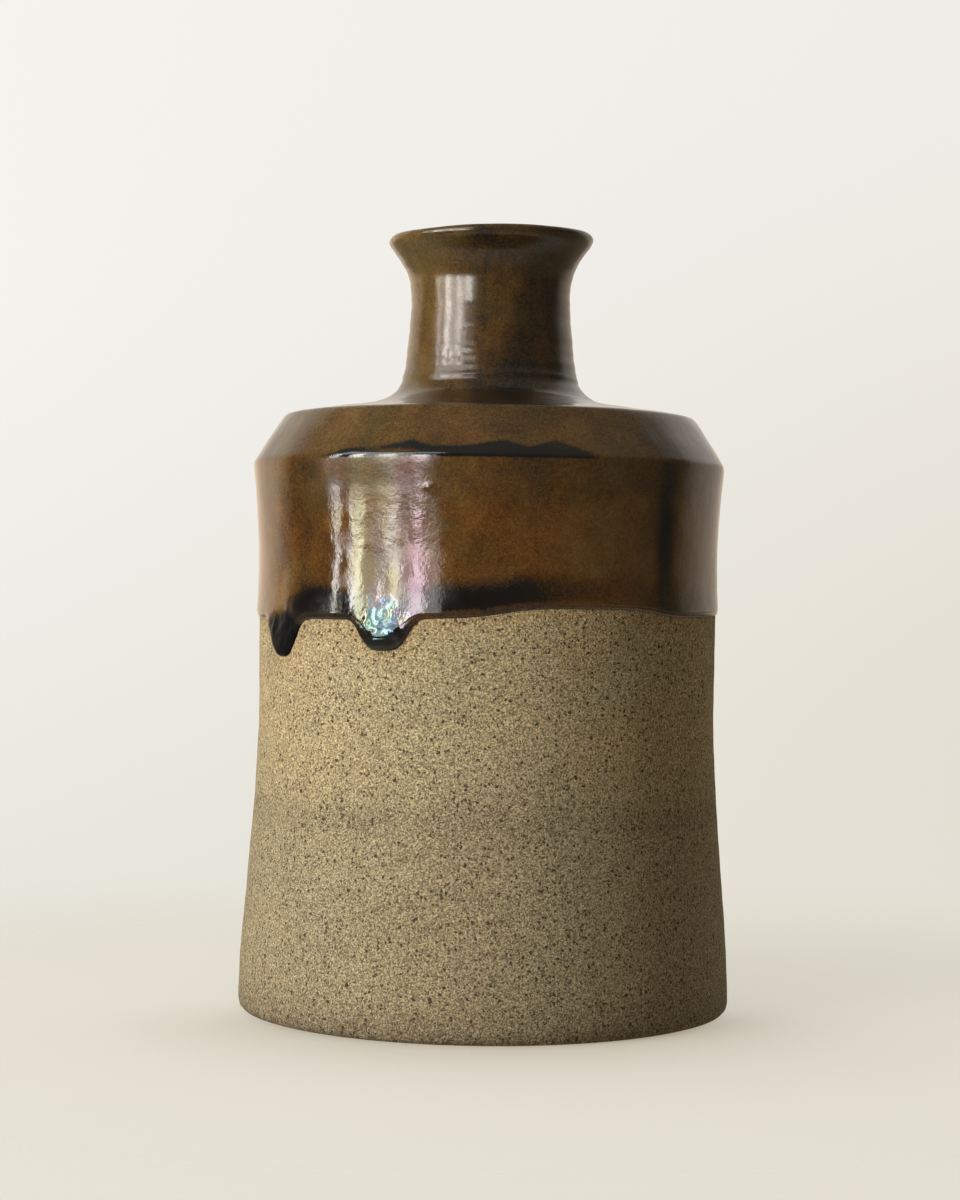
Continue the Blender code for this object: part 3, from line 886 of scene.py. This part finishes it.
class Tree:
    """A material's or the world's nodes, built by calls that link sockets or set values."""

    def __init__(self, owner):
        owner.use_nodes = True
        self.tree = owner.node_tree
        self.tree.nodes.clear()

    def add(self, kind, inputs=None, **settings):
        node = self.tree.nodes.new("ShaderNode" + kind)
        for key, value in settings.items():
            setattr(node, key, value)
        for key, value in (inputs or {}).items():
            if isinstance(value, bpy.types.NodeSocket):
                self.tree.links.new(value, node.inputs[key])
            else:
                node.inputs[key].default_value = value
        return node

    def noise(self, vector, scale, detail, roughness, distortion):
        values = {"Scale": scale, "Detail": detail, "Roughness": roughness, "Distortion": distortion}
        return self.add("TexNoise", {"Vector": vector, **values}).outputs["Fac"]

    def math(self, operation, *values, clamp=False):
        return self.add("Math", dict(enumerate(values)), operation=operation, use_clamp=clamp).outputs[0]

    def plus(self, first, second, clamp=False):
        return self.math("ADD", first, second, clamp=clamp)

    def times(self, first, second):
        return self.math("MULTIPLY", first, second)

    def vector(self, operation, inputs, output=0):
        return self.add("VectorMath", inputs, operation=operation).outputs[output]

    def bump(self, height, distance, strength=1.0, **inputs):
        inputs |= {"Height": height, "Strength": strength, "Distance": distance}
        return self.add("Bump", inputs).outputs["Normal"]

    def fitted(self, value, low, high, to_low=0.0, to_high=1.0):
        """The value from low to high, smoothly mapped on to to_low to to_high."""
        inputs = {"Value": value, "From Min": low, "From Max": high, "To Min": to_low, "To Max": to_high}
        return self.add("MapRange", inputs, interpolation_type="SMOOTHSTEP").outputs["Result"]

    def swung(self, noise, amount):
        """Noise as a swing of up to the amount either way."""
        return self.fitted(noise, 0.3, 0.7, -amount, amount)

    def mixed(self, share, first, second, blend="MIX"):
        inputs = {0: share, 6: first, 7: second}
        return self.add("Mix", inputs, data_type="RGBA", blend_type=blend).outputs[2]

    def ramp(self, value, stops):
        node = self.add("ValToRGB", {"Fac": value})
        elements = node.color_ramp.elements
        while len(elements) < len(stops):
            elements.new(0.5)
        for element, (position, colour) in zip(elements, stops):
            element.position = position
            element.color = (*colour, 1)
        return node.outputs["Color"]

    def attribute(self, name):
        return self.add("Attribute", attribute_name=name).outputs["Fac"]

    def place(self):
        return self.add("TexCoord").outputs["Object"]

    def part(self, vector, axis):
        return self.add("SeparateXYZ", {"Vector": vector}).outputs[axis]

    def finish(self, surface, kind="OutputMaterial"):
        self.add(kind, {"Surface": surface.outputs[0]})


def new_material(name):
    material = bpy.data.materials.new(name)
    return material, Tree(material)


IRON_GLAZE_COLOURS = (
    (0.0, (0.20, 0.115, 0.045)),
    (0.25, (0.150, 0.070, 0.017)),
    (0.42, (0.108, 0.045, 0.0085)),
    (0.55, (0.068, 0.027, 0.0055)),
    (0.68, (0.034, 0.017, 0.0065)),
    (0.82, (0.012, 0.009, 0.007)),
    (1.0, (0.006, 0.0045, 0.004)),
)
LINER_GLAZE_COLOURS = (
    (0.0, (0.12, 0.055, 0.018)),
    (0.5, (0.045, 0.022, 0.009)),
    (1.0, (0.010, 0.007, 0.006)),
)
MOTTLE_DEPTH = 0.05
FINE_DEPTH = 0.06
GRAIN_DEPTH = 0.10
OLIVE_CAST = (0.80, 1.08, 1.45, 1)
GREENER = (0.035, 0.036, 0.012, 1)
REDDER = (0.085, 0.028, 0.012, 1)
OLIVE_SHEEN = (0.88, 0.92, 0.66, 1)
LILAC_SHEEN = (1.0, 0.78, 0.97, 1)
GLAZE_ROUGHNESS = (0.05, 0.12)
MATT_ROUGHNESS = 0.28


def glaze_colour(tree, place, fine, colours):
    """Amber where thin and near black where pooled, mottled, and turned to olive, green and red in places."""
    depth = tree.plus(tree.attribute("depth"), tree.swung(tree.noise(place, *GLAZE_MOTTLE), MOTTLE_DEPTH))
    depth = tree.plus(depth, tree.swung(fine, FINE_DEPTH))
    depth = tree.plus(depth, tree.swung(tree.noise(place, *GLAZE_GRAIN), GRAIN_DEPTH), clamp=True)
    colour = tree.mixed(tree.attribute("olive"), tree.ramp(depth, colours), OLIVE_CAST, "MULTIPLY")
    tint = tree.noise(place, *GLAZE_TINT)
    thin = tree.fitted(depth, 0.9, 0.6)
    colour = tree.mixed(tree.times(thin, tree.fitted(tint, 0.52, 0.7, 0.0, 0.30)), colour, GREENER)
    return tree.mixed(tree.times(thin, tree.fitted(tint, 0.45, 0.3, 0.0, 0.20)), colour, REDDER)


def glaze_material(name, colours):
    """Iron glaze: glossy, with a cast to its shine, faint swells and orange peel, and a metallic bloom."""
    material, tree = new_material(name)
    place = tree.place()
    fine = tree.noise(place, *GLAZE_FINE)
    matt = tree.attribute("matt")
    roughness = tree.fitted(fine, 0.3, 0.75, *GLAZE_ROUGHNESS)
    swells = tree.bump(tree.noise(place, *GLAZE_SWELL), GLAZE_SWELL_RISE)
    drift = tree.fitted(tree.noise(place, *FILM_NOISE), 0.3, 0.7, *FILM_DRIFT)
    sheen = tree.attribute("sheen")
    shine = tree.mixed(tree.fitted(sheen, 0.0, -1.0), (1, 1, 1, 1), OLIVE_SHEEN)
    surface = tree.add("BsdfPrincipled", {
        "Base Color": glaze_colour(tree, place, fine, colours),
        "Roughness": tree.plus(roughness, tree.times(matt, MATT_ROUGHNESS)),
        "IOR": 1.5,
        "Normal": tree.bump(tree.noise(place, *GLAZE_PEEL), GLAZE_PEEL_RISE, Normal=swells),
        "Specular IOR Level": tree.fitted(matt, 0.42, 0.75, 0.5, 0.03),
        "Specular Tint": tree.mixed(tree.fitted(sheen, 0.0, 1.0), shine, LILAC_SHEEN),
        "Thin Film Thickness": tree.times(tree.attribute("film"), drift),
        "Thin Film IOR": 1.6,
    })
    tree.finish(surface)
    return material


CLAY_WARM = (0.364, 0.285, 0.155, 1)
CLAY_COOL = (0.325, 0.272, 0.158, 1)
# Painted shade: the clay is darkened low down and towards the foot
CLAY_LOW_SHADE = (0.222, 0.190, 0.120, 1)
CLAY_DUSKY = (0.23, 0.18, 0.105, 1)
CLAY_RING_AND_FOOT_SHADE = (0.12, 0.10, 0.062, 1)
CLAY_TOASTED = (0.27, 0.165, 0.06, 1)
CLAY_PALE = (0.50, 0.43, 0.29, 1)
CLAY_RUSTY = (0.22, 0.13, 0.06, 1)
IRON_SPECK = (0.035, 0.026, 0.016, 1)
LOW_SHADE_HEIGHTS = (50 * MM, 28 * MM)
DARK_RING_HEIGHT = 34 * MM
DARK_RING_REACH = 3.5 * MM
FOOT_SHADE_REACH = 9 * MM
TOASTED_REACH = 4 * MM
GRAIN_TONES = (1.78, 0.16)
SAND_TONES = (0.60, 1.42)
# Specks of iron in the clay: cells per metre, share of cells that hold one, reach across the cell, darkness
SPECKS = (
    (850.0, 0.22, 0.26, 0.9),
    (1650.0, 0.50, 0.42, 0.9),
    (450.0, 0.06, 0.15, 0.95),
)


def clay_tone(tree, place):
    """The clay without its sand: grey buff, drifting in tone, painted shade low down, toasted at the hem."""
    height = tree.part(place, "Z")
    cloud = tree.noise(place, *CLAY_CLOUD)
    base = tree.mixed(tree.fitted(tree.noise(place, *CLAY_DRIFT), 0.38, 0.62), CLAY_WARM, CLAY_COOL)
    # Painted shade, darker low down
    base = tree.mixed(tree.fitted(height, *LOW_SHADE_HEIGHTS, 0.0, 0.6), base, CLAY_LOW_SHADE)
    base = tree.mixed(tree.fitted(cloud, 0.35, 0.7, 0.0, 0.25), base, CLAY_DUSKY)
    from_ring = tree.math("ABSOLUTE", tree.math("SUBTRACT", height, DARK_RING_HEIGHT))
    ring = tree.fitted(from_ring, DARK_RING_REACH, 0.0, 0.0, 0.5)
    base = tree.mixed(tree.times(ring, cloud), base, CLAY_RING_AND_FOOT_SHADE)
    # Painted shade at the foot
    base = tree.mixed(tree.fitted(height, FOOT_SHADE_REACH, 0.0, 0.0, 0.6), base, CLAY_RING_AND_FOOT_SHADE)
    toasted = tree.fitted(tree.attribute("hem_distance"), -TOASTED_REACH, 0.0, 0.0, 0.3)
    return tree.mixed(toasted, base, CLAY_TOASTED)


def with_specks(tree, base, place):
    for scale, share, size, darkness in SPECKS:
        cells = tree.add("TexVoronoi", {"Vector": place, "Scale": scale})
        chance = tree.add("SeparateColor", {"Color": cells.outputs["Color"]}).outputs[0]
        reach = tree.fitted(chance, 1 - share, 1.0, 0.0, size)
        inside = tree.math("SUBTRACT", cells.outputs["Distance"], reach)
        base = tree.mixed(tree.fitted(inside, 0.03, -0.03, 0.0, darkness), base, IRON_SPECK)
    return base


def clay_material():
    """Bare stoneware: sandy, peppered with iron, dry and gritty."""
    material, tree = new_material("stoneware_clay")
    place = tree.place()
    warp = tree.add("TexNoise", {"Vector": place, "Scale": WARP_SCALE, "Detail": 1.0}).outputs["Color"]
    warp = tree.vector("SUBTRACT", {0: warp, 1: (0.5, 0.5, 0.5)})
    bent = tree.vector("ADD", {0: place, 1: tree.vector("SCALE", {0: warp, "Scale": WARP})})
    sand = tree.add("TexVoronoi", {"Vector": bent, "Scale": SAND_SCALE})
    pick = tree.add("SeparateColor", {"Color": sand.outputs["Color"]}).outputs
    grains = tree.noise(place, *CLAY_GRAIN)
    tone = tree.fitted(grains, 0.34, 0.66, *GRAIN_TONES)
    tone = tree.times(tone, tree.fitted(pick[0], 0.0, 1.0, *SAND_TONES))
    base = tree.mixed(1.0, clay_tone(tree, place), tone, "MULTIPLY")
    base = tree.mixed(tree.fitted(pick[1], 0.75, 1.0, 0.0, 0.5), base, CLAY_RUSTY)
    base = tree.mixed(tree.fitted(pick[2], 0.80, 1.0, 0.0, 0.6), base, CLAY_PALE)
    rough = tree.plus(tree.times(grains, 1.2), sand.outputs["Distance"])
    surface = tree.add("BsdfPrincipled", {
        "Base Color": with_specks(tree, base, bent),
        "Roughness": 0.9,
        "Normal": tree.bump(rough, CLAY_GRIT, 0.8),
        "Specular IOR Level": 0.2,
    })
    tree.finish(surface)
    return material


# ---- stage

def make_floor():
    """A pale floor with a painted shadow at the bottle's foot, melting into the background away from the
    bottle.
    """
    mesh = bpy.data.meshes.new("floor")
    turns = np.linspace(0, 360, FLOOR_SIDES, endpoint=False)
    rim = [tuple(direction_to(turn, 0) * FLOOR_RADIUS) for turn in turns]
    faces = [(0, 1 + i, 1 + (i + 1) % FLOOR_SIDES) for i in range(FLOOR_SIDES)]
    mesh.from_pydata([(0, 0, 0)] + rim, [], faces)
    material, tree = new_material("pale_floor")
    away = tree.vector("LENGTH", {0: tree.place()}, "Value")
    fade = tree.fitted(away, *FLOOR_FADE)
    lit = tree.add("BsdfDiffuse", {"Color": FLOOR_COLOUR})
    # Painted shadow: occlusion, strongest in front of the bottle, darkens the floor's glow
    contact = tree.add("AmbientOcclusion", {"Distance": CONTACT_REACH}, samples=8).outputs["AO"]
    ahead = tree.part(tree.vector("NORMALIZE", {0: tree.place()}), "Y")
    shade = tree.times(tree.fitted(contact, 1.0, 0.45), tree.fitted(ahead, 0.1, -0.7, 0.15, 1.0))
    glow = tree.mixed(shade, FLOOR_GLOW, PAINTED_SHADOW_GLOW)
    even = tree.add("Emission", {"Color": glow})
    surface = tree.add("MixShader", {0: FLOOR_EVENNESS, 1: lit.outputs[0], 2: even.outputs[0]})
    clear = tree.add("BsdfTransparent")
    mixed = tree.add("MixShader", {0: fade, 1: surface.outputs[0], 2: clear.outputs[0]})
    tree.finish(mixed)
    mesh.materials.append(material)
    floor = linked_object("floor", mesh)
    floor.visible_diffuse = False


def make_world():
    """Pale paper to the camera; to the bottle, a dim room in front and the pale paper behind and below."""
    world = bpy.data.worlds.new("studio")
    bpy.context.scene.world = world
    tree = Tree(world)
    direction = tree.add("TexCoord").outputs["Generated"]
    parts = tree.add("SeparateXYZ", {"Vector": direction}).outputs
    leftward = tree.fitted(parts["X"], 0.3, -0.6)
    room = tree.mixed(leftward, ROOM_RIGHT, ROOM_LEFT)
    room = tree.mixed(tree.fitted(parts["Z"], 0.2, 0.8), room, ROOM_ABOVE)
    paper = tree.mixed(leftward, PAPER_RIGHT, PAPER_LEFT)
    paper = tree.mixed(tree.fitted(parts["Z"], 0.05, 0.3), paper, PAPER_HIGH)
    behind = tree.plus(parts["Y"], tree.times(parts["X"], PAPER_LEAN))
    room = tree.mixed(tree.fitted(behind, 0.25, 0.65), room, paper)
    room = tree.mixed(tree.fitted(parts["Z"], -0.06, -0.2), room, PAPER_BELOW)
    level = tree.add("SeparateXYZ", {"Vector": tree.add("TexCoord").outputs["Window"]}).outputs
    left = tree.mixed(tree.fitted(level["Y"], 0.8, 0.05), BACK_TOP_LEFT, BACK_LOW_LEFT)
    right = tree.mixed(tree.fitted(level["Y"], 1.0, 0.35), BACK_TOP_RIGHT, BACK_LOW_RIGHT)
    backdrop = tree.mixed(level["X"], left, right)
    seen = tree.add("LightPath").outputs["Is Camera Ray"]
    light = tree.add("Background", {"Color": room})
    picture = tree.add("Background", {"Color": backdrop})
    both = tree.add("MixShader", {0: seen, 1: light.outputs[0], 2: picture.outputs[0]})
    tree.finish(both, "OutputWorld")


def direction_to(azimuth, elevation):
    """The unit vector towards an azimuth and elevation in degrees."""
    a, e = azimuth * DEGREE, elevation * DEGREE
    return Vector((math.sin(a) * math.cos(e), -math.cos(a) * math.cos(e), math.sin(e)))


def make_panel(name, left, right, low, high, foot, radiance):
    """A glowing upright sheet across azimuths left to right and elevations low to high, in degrees.

    It glows from `foot` at its lower edge to `radiance` PANEL_FADE degrees up.
    """
    heights = [PANEL_LEVEL + PANEL_DISTANCE * math.tan(e * DEGREE) for e in (low, high)]
    corners = []
    for turn in np.linspace(left, right, PANEL_STEPS + 1):
        flat = direction_to(turn, 0) * PANEL_DISTANCE
        corners += [(flat.x, flat.y, height) for height in heights]
    mesh = bpy.data.meshes.new(name)
    mesh.from_pydata(corners, [], [(2 * i, 2 * i + 1, 2 * i + 3, 2 * i + 2) for i in range(PANEL_STEPS)])
    material, tree = new_material(name)
    level = tree.part(tree.place(), "Z")
    full = PANEL_LEVEL + PANEL_DISTANCE * math.tan((low + PANEL_FADE) * DEGREE)
    strength = tree.fitted(level, heights[0], full, foot, radiance)
    glow = tree.add("Emission", {"Color": WINDOW_COLOUR, "Strength": strength})
    tree.finish(glow)
    mesh.materials.append(material)
    panel = linked_object(name, mesh)
    panel.visible_camera = False
    return panel


def make_light():
    """Window panes that only show in the glaze, and a soft key from the same side that only lights."""
    for pane in PANES:
        make_panel(*pane).visible_diffuse = False
    make_panel(*KEY).visible_glossy = False


def make_camera():
    data = bpy.data.cameras.new("camera")
    data.lens = CAMERA_LENS
    data.clip_start = 10 * MM
    camera = linked_object("camera", data)
    camera.location = (CAMERA_ASIDE, -CAMERA_DISTANCE, CAMERA_HEIGHT)
    facing = Vector((0, math.cos(CAMERA_PITCH), math.sin(CAMERA_PITCH))).to_track_quat("-Z", "Y")
    camera.rotation_mode = "QUATERNION"
    camera.rotation_quaternion = facing @ Quaternion((0, 0, 1), CAMERA_ROLL)
    bpy.context.scene.camera = camera


make_coat()
make_clay()
make_liner()
make_floor()
make_world()
make_light()
make_camera()
bpy.context.scene.view_settings.view_transform = "Standard"
